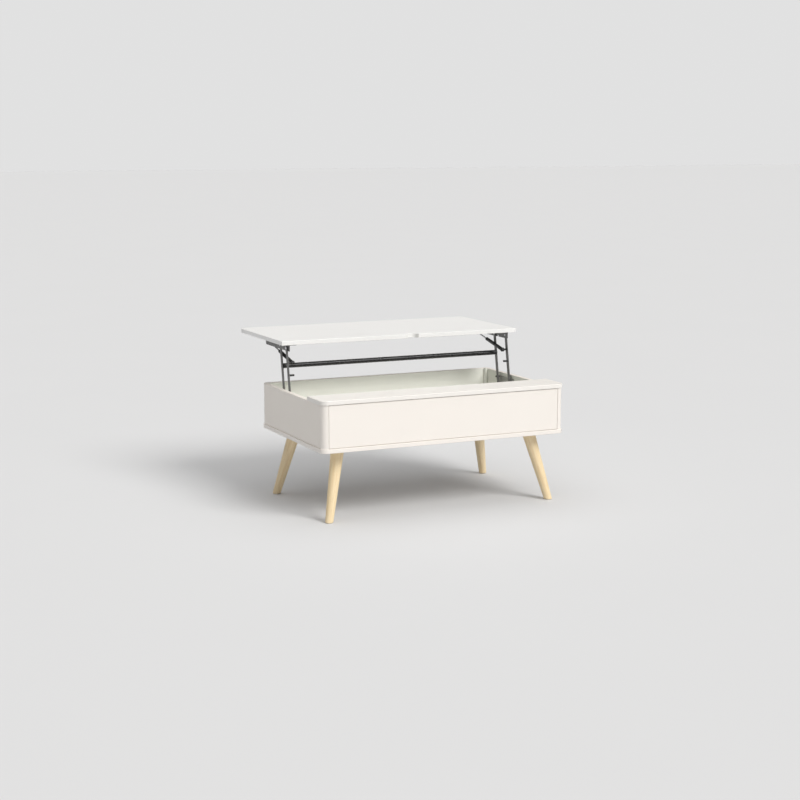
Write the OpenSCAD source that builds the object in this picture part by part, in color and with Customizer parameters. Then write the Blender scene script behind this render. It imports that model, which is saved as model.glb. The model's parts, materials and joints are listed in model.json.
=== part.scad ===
// Lift-top coffee table: a painted board cabinet on four splayed round legs.
// The rear part of the top swings up and back on a parallel-arm mechanism.
// Frame: X to the right, Y from the fixed front strip to the back, Z up.
// The origin is on the floor, under the middle of the cabinet.
// The table is drawn with its top raised, where every joint is at zero.

/* [Cabinet] */
// Width over the side panels
body_w = 1000; // [820:10:1240]
// Depth over the front and back panels
body_d = 616; // [540:4:760]
// Height of the side panels
wall_h = 160; // [140:2:200]
// Thickness of the panels
panel_t = 18; // [15:1:21]
// Thickness of the bottom board, the front strip and the lift top
board_t = 16; // [15:1:22]
// How far the boards stand proud of the panels
overhang = 4; // [2:0.5:8]
// Radius of the rounded corner posts
corner_r = 25; // [22:1:32]
// How far a post stands into the compartment past the side panel
post_lip_x = 8; // [4:1:14]
// How far a post stands into the compartment past the front or back panel
post_lip_y = 15; // [8:1:20]
// Gap under the front strip, over the front panel
shadow_gap = 1.5; // [1:0.5:3]

/* [Top] */
// Depth of the fixed front strip
strip_d = 142.5; // [125:2.5:170]
// Gap between the strip and the closed lift top
strip_gap = 2; // [1:0.5:4]
// Radius of the finger notch in the lift top's front edge
notch_r = 23; // [18:1:30]
// Place of the finger notch, to the right of the middle
notch_x = 45; // [-100:5:100]
// Thickness of the rubber buttons that the closed top rests on
bumper_t = 0.8; // [0.5:0.1:1.5]

/* [Legs] */
// Height of the bottom board's underside above the floor
leg_h = 265; // [220:5:320]
// Diameter of a leg where it meets the board
leg_top_d = 50; // [42:1:60]
// Diameter of a leg at the floor
leg_foot_d = 30; // [26:1:40]
// Distance from the side of the cabinet in to a leg's top
leg_inset_x = 100; // [80:5:140]
// Distance from the front or back of the cabinet in to a leg's top
leg_inset_y = 98; // [80:2:140]
// How far a foot stands out sideways past the leg's top
splay_x = 61; // [30:1:80]
// How far a foot stands out forwards or backwards past the leg's top
splay_y = 60; // [30:1:80]
// Thickness of the felt pads under the feet
pad_t = 2; // [1:0.5:4]

/* [Lift mechanism] */
// Length of the arms between their pivots
arm_l = 211; // [180:1:255]
// Distance between the front and the rear arm
arm_gap = 81; // [74:1:96]
// Width of an arm
arm_w = 15; // [13:1:17]
// Thickness of an arm
arm_t = 4; // [3:0.5:5]
// Lean of the raised arms past upright, in degrees
open_lean = 10; // [9:1:14]
// Distance from the lift top's front edge back to the front pivot
pivot_setback = 30; // [24:1:50]
// Depth of the top pivots below the lift top
pivot_drop = 13.4; // [13:0.2:16]
// Diameter of the crossbar
bar_d = 19; // [14:1:20]
// Diameter of the gas spring's tube
tube_d = 14; // [12:1:15]
// Diameter of the gas spring's rod
rod_d = 6; // [5:1:8]
// Diameter of the pivot pins
pin_d = 8; // [6:1:9]
// Radial play of a pin in its hole
pin_fit = 0.05; // [0.03:0.01:0.09]

/* [Hidden] */

$fn = 64;
eps = 0.01;
BACK = 1;
FRONT = -1;
LEFT = -1;
RIGHT = 1;

paint = [0.96, 0.94, 0.91];
beech = [0.93, 0.82, 0.64];
steel = [0.32, 0.32, 0.33];
black = [0.08, 0.08, 0.09];
zinc = [0.72, 0.72, 0.74];
felt = [0.80, 0.76, 0.68];

// Heights of the cabinet
floor_z = leg_h + board_t;
wall_z = floor_z + wall_h;
fixed_play = 0.05;

// Edges of the top, seen from above
board_w = body_w + 2 * overhang;
board_front = -body_d / 2 - overhang;
board_back = body_d / 2 + overhang;
board_r = corner_r + overhang;
strip_back = board_front + strip_d;
closed_front = strip_back + strip_gap;
top_d = board_back - closed_front;

// Travel of the lift top, from closed to raised
lid_rest = bumper_t + 0.2;
raise_y = arm_l * (sin(open_lean) + cos(open_lean));
raise_z = arm_l * (cos(open_lean) - sin(open_lean));
top_front = closed_front + raise_y;
top_z = wall_z + lid_rest + raise_z;

// Pivots at rest, as [y, z]. The closed arms rise to the front at the angle of the lean.
top_pivot_z = top_z - pivot_drop;
front_top = [top_front + pivot_setback, top_pivot_z];
front_base = front_top - arm_l * [sin(open_lean), cos(open_lean)];
rear_top = front_top + [arm_gap, 0];
rear_base = front_base + [arm_gap, 0];

// Layers of the mechanism, counted inwards from the side panel
play_x = 0.5;
head_t = 2;
head_gap = 0.2;
head_r = 6.5;
pin_r = pin_d / 2;
plate_t = 3;
bush_t = 3;
flange_t = 2.5;
inner_x = body_w / 2 - panel_t;
plate_x = inner_x - plate_t;
front_arm_x = plate_x - bush_t - arm_t;
flange_x = front_arm_x - play_x - flange_t;
rear_arm_x = flange_x - play_x - arm_t;
strut_x = rear_arm_x - 10.5;

// Bracket under the lift top
bracket_drop = 12;
bracket_lead = 22;
bracket_tail = 12;
bracket_in = 29.5;
bracket_screw_x = flange_x - 18;
bracket_screw_y = [15, 108, 155];

// Places along the arms, from the base pivot
bar_along = 132;
bar_off = -6;
stud_along = 153;
peg_along = 106;
peg_off = -3;
stop_along = 33.5;
peg_r = 4;
eye_w = 10;
eye_r = 8;
rod_eye_r = 5;

// Gas spring at rest: from the stud on the front arm to the stud on the bracket
strut_tail = 218;
strut_drop = 7.8;
strut_low = front_base + stud_along * [sin(open_lean), cos(open_lean)];
strut_high = front_top + [strut_tail, -strut_drop];
strut_v = strut_high - strut_low;
strut_len = norm(strut_v);
strut_angle = atan2(strut_v[1], strut_v[0]);
tube_start = eye_r - 1;
tube_len = 132;
tube_wall = 1.2;
piston_l = 8;
bore_r = tube_d / 2 - tube_wall;

// Leg geometry
leg_top_x = body_w / 2 - leg_inset_x;
leg_top_y = body_d / 2 - leg_inset_y;
leg_slope = atan2(norm([splay_x, splay_y]), leg_h);
leg_turn = atan2(-splay_y, -splay_x);
leg_len = norm([splay_x, splay_y, leg_h]);
bolt_r = 4;
bolt_in_leg = 38;
insert_r = 5.5;
insert_len = board_t - 2;

// Screws and dowels of the cabinet
screw_r = 2.5;
screw_head_r = 4.5;
screw_head_t = 3;
screw_grip = 24;
dowel_r = 3;
dowel_h = 18;
corner_in = 14;

// ---------- Helpers ----------

// Draws its children on one side of the table: they are drawn for the right side.
module on_side(side) {
  if (side == RIGHT) children();
  else mirror([1, 0, 0]) children();
}

// Draws its children at one corner: they are drawn for the back right corner.
module at_corner(side, end) {
  on_side(side) {
    if (end == BACK) children();
    else mirror([0, 1, 0]) children();
  }
}

module all_corners() {
  for (side = [LEFT, RIGHT], end = [FRONT, BACK]) at_corner(side, end) children();
}

// Extrudes an outline in [y, z] along X, from x on.
module plate_yz(x, t) {
  translate([x, 0, 0]) rotate([90, 0, 90]) linear_extrude(t) children();
}

// A round bar along X.
module bar_x(x, length, at, r) {
  translate([x, at[0], at[1]]) rotate([0, 90, 0]) cylinder(h = length, r = r);
}

// A place on a raised arm, a distance along it from its base pivot and a distance behind it.
function on_arm(base, along, off = 0) =
  base + along * [sin(open_lean), cos(open_lean)] + off * [cos(open_lean), -sin(open_lean)];

// A rectangle whose front and back corners have their own radius, 0 for a sharp one.
module board_outline(w, y0, y1, front_r, back_r) {
  straight_front = y0 + front_r;
  straight_back = y1 - back_r;
  translate([-w / 2, straight_front]) square([w, straight_back - straight_front]);
  if (front_r > 0) board_end(w, y0, front_r, FRONT);
  if (back_r > 0) board_end(w, y1, back_r, BACK);
}

module board_end(w, y, r, end) {
  for (side = [LEFT, RIGHT]) translate([side * (w / 2 - r), y - end * r]) circle(r);
  translate([-w / 2 + r, end == BACK ? y - r : y]) square([w - 2 * r, r]);
}

// ---------- Cabinet ----------

// Places of the screws that come up through the bottom board into the panels.
screw_edge = panel_t / 2;
function screw_places() = concat(
  [for (x = [-0.36, 0, 0.36], y = [-1, 1]) [x * body_w, y * (body_d / 2 - screw_edge)]],
  [for (x = [-1, 1], y = [-0.3, 0, 0.3]) [x * (body_w / 2 - screw_edge), y * body_d]],
  [for (x = [-1, 1], y = [-1, 1]) [x * (body_w / 2 - corner_in), y * (body_d / 2 - corner_in)]]
);

module carcass_screw(play) {
  translate([0, 0, leg_h - play]) {
    cylinder(h = screw_head_t + play, r1 = screw_head_r + play, r2 = screw_r + play, $fn = 32);
    cylinder(h = board_t + screw_grip + 2 * play, r = screw_r + play, $fn = 32);
  }
}

module screw_holes() {
  for (p = screw_places()) translate([p[0], p[1], 0]) carcass_screw(fixed_play);
}

module bottom_board() {
  color(paint) difference() {
    translate([0, 0, leg_h]) linear_extrude(board_t)
      board_outline(board_w, board_front, board_back, board_r, board_r);
    screw_holes();
    all_corners() leg_axis() cylinder(h = leg_len + insert_len, r = insert_r + fixed_play);
  }
}

// The front panel stops short of the strip, which leaves a shadow line.
module end_panel(end, h) {
  difference() {
    translate([-body_w / 2 + corner_r, end == BACK ? body_d / 2 - panel_t : -body_d / 2, floor_z])
      cube([body_w - 2 * corner_r, panel_t, h]);
    screw_holes();
    if (end == FRONT) strip_dowel_holes();
  }
}

module front_panel() {
  color(paint) end_panel(FRONT, wall_h - shadow_gap);
}

module back_panel() {
  color(paint) end_panel(BACK, wall_h);
}

module side_panel(side) {
  color(paint) difference() {
    on_side(side) translate([body_w / 2 - panel_t, -body_d / 2 + corner_r, floor_z])
      cube([panel_t, body_d - 2 * corner_r, wall_h]);
    screw_holes();
    strip_dowel_holes();
    on_side(side) base_screw_holes();
  }
}

// A quarter-round outer corner with a lip behind both panels.
module corner_post(side, end) {
  color(paint) difference() {
    at_corner(side, end) translate([0, 0, floor_z]) linear_extrude(wall_h) {
      translate([body_w / 2 - corner_r, body_d / 2 - corner_r]) intersection() {
        circle(corner_r);
        square(corner_r);
      }
      translate([body_w / 2 - panel_t - post_lip_x, body_d / 2 - panel_t - post_lip_y])
        square([post_lip_x, post_lip_y]);
      translate([body_w / 2 - corner_r, body_d / 2 - panel_t - post_lip_y])
        square([corner_r - panel_t, post_lip_y + panel_t - corner_r]);
    }
    screw_holes();
    if (end == FRONT) strip_dowel_holes();
  }
}

module front_top_strip() {
  color(paint) difference() {
    translate([0, 0, wall_z]) linear_extrude(board_t)
      board_outline(board_w, board_front, strip_back, board_r, 0);
    strip_dowel_holes();
  }
}

module carcass_screws() {
  color(zinc) for (p = screw_places()) translate([p[0], p[1], 0]) carcass_screw(0);
}

// Dowels between the strip and the posts, side panels and front panel.
strip_dowel_in = 50;
function dowel_places() = concat(
  [for (x = [-0.3, 0.3]) [x * body_w, -body_d / 2 + panel_t / 2]],
  [for (x = [-1, 1]) [x * (body_w / 2 - panel_t / 2), strip_back - strip_dowel_in]],
  [for (x = [-1, 1]) [x * (body_w / 2 - corner_in), -body_d / 2 + corner_in]]
);

module dowel(play) {
  translate([0, 0, wall_z - dowel_h / 2 - play]) cylinder(h = dowel_h + 2 * play, r = dowel_r + play, $fn = 32);
}

module strip_dowels() {
  color(beech) for (p = dowel_places()) translate([p[0], p[1], 0]) dowel(0);
}

module strip_dowel_holes() {
  for (p = dowel_places()) translate([p[0], p[1], 0]) dowel(fixed_play);
}

// ---------- Legs ----------

// Puts Z along a leg's axis, from the middle of its foot on the floor up.
module leg_axis() {
  translate([leg_top_x + splay_x, leg_top_y + splay_y, 0])
    rotate([0, leg_slope, leg_turn]) rotate([0, 0, 90]) children();
}

// A cone along the leg's axis, cut level at the board and at the pad.
module leg(side, end) {
  spare = 30;
  taper = (leg_top_d - leg_foot_d) / 2 / leg_len;
  color(beech) at_corner(side, end) difference() {
    leg_axis() translate([0, 0, -spare]) cylinder(
      h = leg_len + 2 * spare,
      r1 = leg_foot_d / 2 - taper * spare,
      r2 = leg_top_d / 2 + taper * spare
    );
    translate([0, 0, -2 * spare]) cube([body_w, body_d, 2 * spare + pad_t]);
    translate([0, 0, leg_h]) cube([body_w, body_d, 3 * spare]);
    leg_axis() translate([0, 0, leg_len - bolt_in_leg]) cylinder(h = 3 * spare, r = bolt_r + fixed_play);
  }
}

module leg_bolts() {
  color(zinc) all_corners() leg_axis()
    translate([0, 0, leg_len - bolt_in_leg + fixed_play]) cylinder(h = bolt_in_leg + insert_len - 3, r = bolt_r);
}

// Threaded inserts, let into the bottom board at the legs' slope and cut level with it.
module leg_inserts() {
  color(zinc) all_corners() difference() {
    leg_axis() translate([0, 0, leg_len - insert_r])
      cylinder(h = insert_r + insert_len - fixed_play, r = insert_r);
    cube([body_w, body_d, leg_h]);
    leg_axis() cylinder(h = leg_len + insert_len - 2, r = bolt_r + fixed_play);
  }
}

module foot_pads() {
  color(felt) all_corners()
    translate([leg_top_x + splay_x, leg_top_y + splay_y, 0]) cylinder(h = pad_t, r = leg_foot_d / 2 - 2);
}

// ---------- Lift mechanism: fixed parts ----------

base_margin = 24;
base_low = 22;
base_high = 34;
base_corner_r = 8;
base_y0 = front_base[0] - base_margin;
base_y1 = rear_base[0] + base_margin;
base_z0 = front_base[1] - base_low;
base_z1 = front_base[1] + base_high;
base_screw_r = 2;
base_screw_head_r = 4;
base_screw_head_t = 1.6;
base_screw_grip = 13;
base_screw_inset = 9;

module rounded_outline(y0, z0, y1, z1, r) {
  for (y = [y0 + r, y1 - r], z = [z0 + r, z1 - r]) translate([y, z]) circle(r);
  translate([y0, z0 + r]) square([y1 - y0, z1 - z0 - 2 * r]);
  translate([y0 + r, z0]) square([y1 - y0 - 2 * r, z1 - z0]);
}

function base_screw_places() = [
  [base_y0 + base_screw_inset, base_z0 + base_screw_inset],
  [(base_y0 + base_y1) / 2, base_z0 + base_screw_inset],
  [base_y1 - base_screw_inset, base_z0 + base_screw_inset],
  [base_y0 + base_screw_inset, base_z1 - base_screw_inset]
];

module base_screw_holes() {
  for (p = base_screw_places())
    bar_x(inner_x - eps, base_screw_grip + 2 * fixed_play, p, base_screw_r + fixed_play, $fn = 32);
}

// The stop pin stands behind the raised rear arm, which leans on it.
stop_at = on_arm(rear_base, stop_along, arm_w / 2 + peg_r + 0.15);

module base_plate(side) {
  color(steel) on_side(side) difference() {
    plate_yz(plate_x, plate_t) rounded_outline(base_y0, base_z0, base_y1, base_z1, base_corner_r);
    for (p = [front_base, rear_base]) bar_x(plate_x - 1, plate_t + 2, p, pin_r + fixed_play);
    bar_x(plate_x - 1, plate_t + 2, stop_at, pin_r + fixed_play);
    for (p = base_screw_places()) bar_x(plate_x - 1, plate_t + 2, p, base_screw_r + fixed_play, $fn = 32);
  }
}

module base_plate_screws() {
  color(zinc) for (side = [LEFT, RIGHT], p = base_screw_places()) on_side(side) {
    bar_x(plate_x - base_screw_head_t, base_screw_head_t, p, base_screw_head_r, $fn = 32);
    bar_x(plate_x - eps, plate_t + base_screw_grip, p, base_screw_r, $fn = 32);
  }
}

// A shouldered pin: from the base plate through the arm, with a head on the inside.
module base_pin(p, arm_x) {
  bar_x(arm_x - head_gap - head_t, head_t, p, head_r);
  bar_x(arm_x - head_gap - eps, inner_x - arm_x + head_gap, p, pin_r);
  bar_x(arm_x + arm_t + head_gap, plate_x - arm_x - arm_t - head_gap, p, head_r);
}

module base_pivot_pins() {
  color(zinc) for (side = [LEFT, RIGHT]) on_side(side) {
    base_pin(front_base, front_arm_x);
    base_pin(rear_base, rear_arm_x);
  }
}

module stop_pins() {
  color(black) for (side = [LEFT, RIGHT]) on_side(side) {
    bar_x(rear_arm_x - play_x, plate_x - rear_arm_x + play_x, stop_at, peg_r);
    bar_x(plate_x - eps, plate_t, stop_at, pin_r);
  }
}

// ---------- Lift mechanism: arms ----------

// A flat bar with round ends, leaning back from its base pivot. Each hole is [along, off].
module arm(x, base, holes) {
  translate([x, base[0], base[1]]) rotate([90 - open_lean, 0, 0]) plate_yz(0, arm_t) difference() {
    union() {
      for (along = [0, arm_l]) translate([along, 0]) circle(arm_w / 2);
      translate([0, -arm_w / 2]) square([arm_l, arm_w]);
    }
    for (p = holes) translate([p[0], -p[1]]) circle(pin_r + pin_fit);
  }
}

peg_at = on_arm(front_base, peg_along, peg_off);

module front_arm(side) {
  color(steel) on_side(side)
    arm(front_arm_x, front_base, [[0, 0], [arm_l, 0], [stud_along, 0], [peg_along, peg_off]]);
}

module rear_arm(side) {
  color(steel) on_side(side) arm(rear_arm_x, rear_base, [[0, 0], [arm_l, 0]]);
}

// A tube between the two rear arms, butted and welded to them.
module crossbar() {
  at = on_arm(rear_base, bar_along, bar_off);
  color(steel) difference() {
    bar_x(-rear_arm_x, 2 * rear_arm_x, at, bar_d / 2);
    bar_x(-rear_arm_x - 1, 2 * rear_arm_x + 2, at, bar_d / 2 - 1.5);
  }
}

module arm_peg(side) {
  length = 20;
  color(black) on_side(side) {
    bar_x(front_arm_x + arm_t - length - arm_t, length, peg_at, peg_r - 1);
    bar_x(front_arm_x + arm_t - length - arm_t, length - play_x, peg_at, peg_r);
    bar_x(front_arm_x, arm_t, peg_at, pin_r);
  }
}

// The stud that carries the gas spring's lower eye, with a head on the inside.
module strut_stud(side) {
  color(black) on_side(side) {
    bar_x(strut_x - eye_w / 2 - head_gap, front_arm_x + arm_t - strut_x + eye_w / 2 + head_gap, strut_low, pin_r);
    bar_x(strut_x - eye_w / 2 - head_gap - head_t, head_t + eps, strut_low, head_r);
  }
}

// ---------- Gas springs ----------

// Puts X along the gas spring, from its lower eye to its upper eye, on one side.
module on_strut(side) {
  on_side(side) translate([strut_x, strut_low[0], strut_low[1]]) rotate([strut_angle, 0, 0])
    rotate([0, 0, 90]) children();
}

module along_strut(from, length, r) {
  translate([from, 0, 0]) rotate([0, 90, 0]) cylinder(h = length, r = r);
}

module gas_tube(side) {
  color(black) on_strut(side) difference() {
    along_strut(tube_start, tube_len, tube_d / 2);
    along_strut(tube_start + tube_wall + 3, tube_len - 2 * (tube_wall + 3), bore_r);
    along_strut(tube_start + tube_len / 2, tube_len, rod_d / 2 + pin_fit);
  }
}

// A flat-sided eye on the tube's lower end, turning on the stud.
module tube_eye(side) {
  color(black) on_strut(side) difference() {
    rotate([90, 0, 0]) translate([0, 0, -eye_w / 2]) cylinder(h = eye_w, r = eye_r);
    rotate([90, 0, 0]) translate([0, 0, -eye_w]) cylinder(h = 2 * eye_w, r = pin_r + pin_fit);
    along_strut(tube_start, tube_len, tube_d / 2);
  }
}

// The rod with its piston inside the tube.
module gas_rod(side) {
  piston_at = tube_start + tube_len - 22;
  color(zinc) on_strut(side) {
    along_strut(piston_at, strut_len - rod_eye_r - piston_at, rod_d / 2);
    along_strut(piston_at, piston_l, bore_r - pin_fit);
  }
}

module rod_eye(side) {
  color(black) on_strut(side) difference() {
    union() {
      rotate([90, 0, 0]) translate([strut_len, 0, -eye_w / 2]) cylinder(h = eye_w, r = rod_eye_r);
      along_strut(strut_len - 10, 6, rod_eye_r - 1);
    }
    along_strut(0, strut_len - rod_eye_r, rod_d / 2);
  }
}

// ---------- Lift top ----------

module lift_top_panel() {
  color(paint) difference() {
    translate([0, raise_y, top_z]) linear_extrude(board_t) difference() {
      board_outline(board_w, closed_front, board_back, 0, board_r);
      translate([notch_x, closed_front]) circle(notch_r);
    }
    for (side = [LEFT, RIGHT]) on_side(side) bracket_screw_holes();
  }
}

bracket_y0 = front_top[0] - bracket_lead;
bracket_y1 = strut_high[0] + bracket_tail;
bracket_z0 = top_pivot_z - bracket_drop;
stud_rel = arm_l - stud_along;
notch_at = front_top + stud_rel * [cos(open_lean), -sin(open_lean)];
notch_clear = 1.5;
bracket_screw_r = 2;
bracket_screw_head_t = 1.8;
bracket_screw_grip = 11;

module bracket_flange_outline() {
  front_corner_r = 4;
  rear_corner_r = 10;
  difference() {
    union() {
      translate([bracket_y0, bracket_z0 + rear_corner_r])
        square([bracket_y1 - bracket_y0, top_z - bracket_z0 - rear_corner_r]);
      translate([bracket_y0, bracket_z0 + front_corner_r])
        square([bracket_y1 - bracket_y0 - rear_corner_r, rear_corner_r]);
      translate([bracket_y0 + front_corner_r, bracket_z0])
        square([bracket_y1 - bracket_y0 - front_corner_r - rear_corner_r, front_corner_r + eps]);
      translate([bracket_y0 + front_corner_r, bracket_z0 + front_corner_r]) circle(front_corner_r);
      translate([bracket_y1 - rear_corner_r, bracket_z0 + rear_corner_r]) circle(rear_corner_r);
    }
    // The strut stud comes up into this notch as the top closes.
    translate(notch_at) circle(pin_r + notch_clear);
    translate(notch_at - [pin_r + notch_clear, 2 * bracket_drop])
      square([2 * (pin_r + notch_clear), 2 * bracket_drop]);
  }
}

module bracket_screw_holes() {
  for (y = bracket_screw_y) translate([bracket_screw_x, front_top[0] + y, top_z - eps])
    cylinder(h = bracket_screw_grip + 2 * fixed_play, r = bracket_screw_r + fixed_play, $fn = 32);
}

// An angle: the standing flange between the arms, the lying one screwed under the top.
module bracket(side) {
  color(steel) on_side(side) difference() {
    union() {
      plate_yz(flange_x, flange_t) bracket_flange_outline();
      translate([flange_x + flange_t - bracket_in, bracket_y0, top_z - flange_t])
        cube([bracket_in, bracket_y1 - bracket_y0, flange_t]);
    }
    for (p = [front_top, rear_top, strut_high]) bar_x(flange_x - 1, flange_t + 2, p, pin_r + fixed_play);
    for (y = bracket_screw_y) translate([bracket_screw_x, front_top[0] + y, top_z - flange_t - 1])
      cylinder(h = flange_t + 2, r = bracket_screw_r + fixed_play, $fn = 32);
  }
}

module bracket_screws() {
  color(zinc) for (side = [LEFT, RIGHT], y = bracket_screw_y) on_side(side)
    translate([bracket_screw_x, front_top[0] + y, top_z - flange_t]) {
      translate([0, 0, -bracket_screw_head_t]) cylinder(h = bracket_screw_head_t, r = 4, $fn = 32);
      translate([0, 0, -eps]) cylinder(h = flange_t + bracket_screw_grip, r = bracket_screw_r, $fn = 32);
    }
}

// The front pins run outwards through the front arms, the rear ones inwards through the rear arms.
module top_pivot_pins() {
  color(zinc) for (side = [LEFT, RIGHT]) on_side(side) {
    bar_x(flange_x, front_arm_x + arm_t + head_gap - flange_x + eps, front_top, pin_r);
    bar_x(front_arm_x + arm_t + head_gap, head_t, front_top, head_r);
    bar_x(rear_arm_x - head_gap - eps, flange_x + flange_t - rear_arm_x + head_gap, rear_top, pin_r);
    bar_x(rear_arm_x - head_gap - head_t, head_t, rear_top, head_r);
  }
}

// Each stud stops just short of the gas spring's upper eye: this is the pivot left open.
module bracket_studs() {
  open_gap = 0.3;
  start = strut_x + eye_w / 2 + open_gap;
  color(black) for (side = [LEFT, RIGHT]) on_side(side)
    bar_x(start, flange_x + flange_t - start, strut_high, pin_r);
}

module lid_bumpers() {
  places = [
    [body_w / 2 - panel_t / 2, top_front + 60],
    [body_w / 2 - panel_t / 2, top_front + top_d - 60]
  ];
  color(black) for (side = [LEFT, RIGHT], p = places) on_side(side)
    translate([p[0], p[1], top_z - bumper_t]) cylinder(h = bumper_t, r = 5);
}

// ---------- Assembly ----------

bottom_board();
front_panel();
back_panel();
side_panel(LEFT);  // left_side_panel
side_panel(RIGHT);  // right_side_panel
corner_post(LEFT, FRONT);  // front_left_post
corner_post(RIGHT, FRONT);  // front_right_post
corner_post(LEFT, BACK);  // back_left_post
corner_post(RIGHT, BACK);  // back_right_post
front_top_strip();
carcass_screws();
strip_dowels();
leg(LEFT, FRONT);  // front_left_leg
leg(RIGHT, FRONT);  // front_right_leg
leg(LEFT, BACK);  // back_left_leg
leg(RIGHT, BACK);  // back_right_leg
leg_bolts();
leg_inserts();
foot_pads();
base_plate(LEFT);  // left_base_plate
base_plate(RIGHT);  // right_base_plate
base_plate_screws();
base_pivot_pins();
stop_pins();
rear_arm(LEFT);  // left_rear_arm
rear_arm(RIGHT);  // right_rear_arm
crossbar();
front_arm(LEFT);  // left_front_arm
arm_peg(LEFT);  // left_arm_peg
strut_stud(LEFT);  // left_strut_stud
front_arm(RIGHT);  // right_front_arm
arm_peg(RIGHT);  // right_arm_peg
strut_stud(RIGHT);  // right_strut_stud
gas_tube(LEFT);  // left_gas_tube
tube_eye(LEFT);  // left_tube_eye
gas_rod(LEFT);  // left_gas_rod
rod_eye(LEFT);  // left_rod_eye
gas_tube(RIGHT);  // right_gas_tube
tube_eye(RIGHT);  // right_tube_eye
gas_rod(RIGHT);  // right_gas_rod
rod_eye(RIGHT);  // right_rod_eye
lift_top_panel();
bracket(LEFT);  // left_bracket
bracket(RIGHT);  // right_bracket
bracket_screws();
top_pivot_pins();
bracket_studs();
lid_bumpers();
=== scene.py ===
import json
import math

import bmesh
import bpy
from mathutils import Matrix, Vector


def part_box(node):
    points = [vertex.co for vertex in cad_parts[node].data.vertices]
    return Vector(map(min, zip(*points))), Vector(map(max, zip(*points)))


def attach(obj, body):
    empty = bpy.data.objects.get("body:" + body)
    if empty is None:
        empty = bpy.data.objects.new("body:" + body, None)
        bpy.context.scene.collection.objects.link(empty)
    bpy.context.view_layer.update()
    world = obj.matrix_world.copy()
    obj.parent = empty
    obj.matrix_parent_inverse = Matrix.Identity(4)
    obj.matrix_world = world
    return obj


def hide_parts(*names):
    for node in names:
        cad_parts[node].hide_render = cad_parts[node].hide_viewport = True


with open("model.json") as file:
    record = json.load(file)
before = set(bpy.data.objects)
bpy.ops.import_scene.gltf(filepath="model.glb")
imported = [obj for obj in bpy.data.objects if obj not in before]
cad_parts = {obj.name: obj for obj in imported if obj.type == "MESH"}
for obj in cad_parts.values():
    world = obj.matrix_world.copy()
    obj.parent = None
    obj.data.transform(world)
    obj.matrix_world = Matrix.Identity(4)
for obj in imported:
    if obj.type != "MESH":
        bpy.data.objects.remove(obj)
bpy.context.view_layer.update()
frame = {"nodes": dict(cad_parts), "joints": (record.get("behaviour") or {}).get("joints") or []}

# The table stands on the floor with its long side along X and its fixed strip to the front, -Y.
MM = 0.001
SIDES = {"left": -1, "right": 1}
ENDS = {"front": -1, "back": 1}
ARC_STEPS = 6
RIM_STEPS = 4
JOINTS = {joint["name"]: joint for joint in frame["joints"]}


# ---------- Materials ----------


class Wire:
    """A number or colour that a shader node gives out. Maths on numbers reads as an expression."""

    def __init__(self, nodes, socket):
        self.nodes = nodes
        self.socket = socket

    def maths(self, operation, first, second):
        return self.nodes.node("ShaderNodeMath", {"operation": operation}, {0: first, 1: second})

    def __add__(self, other):
        return self.maths("ADD", self, other)

    def __radd__(self, other):
        return self.maths("ADD", other, self)

    def __sub__(self, other):
        return self.maths("SUBTRACT", self, other)

    def __rsub__(self, other):
        return self.maths("SUBTRACT", other, self)

    def __mul__(self, other):
        return self.maths("MULTIPLY", self, other)

    def __rmul__(self, other):
        return self.maths("MULTIPLY", other, self)


class Nodes:
    """The nodes of a material or of the sky."""

    def __init__(self, tree):
        self.tree = tree

    def node(self, kind, settings=None, sockets=None, output=0):
        """Adds a node: its settings first, then the values and links of its sockets."""
        made = self.tree.nodes.new(kind)
        for name, value in (settings or {}).items():
            setattr(made, name, value)
        self.plug(made, sockets or {})
        return Wire(self, made.outputs[output])

    def plug(self, node, sockets):
        for name, value in sockets.items():
            if isinstance(value, Wire):
                self.tree.links.new(value.socket, node.inputs[name])
            else:
                node.inputs[name].default_value = value

    def mix(self, share, first, second):
        sockets = {0: share, 6: (*first, 1.0) if isinstance(first, tuple) else first, 7: (*second, 1.0)}
        return self.node("ShaderNodeMix", {"data_type": "RGBA"}, sockets, output=2)

    def between(self, value, low, high):
        """0 where value is under low, 1 where it is over high."""
        sockets = {"Value": value, "From Min": low, "From Max": high}
        return self.node("ShaderNodeMapRange", {"clamp": True}, sockets)


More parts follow.
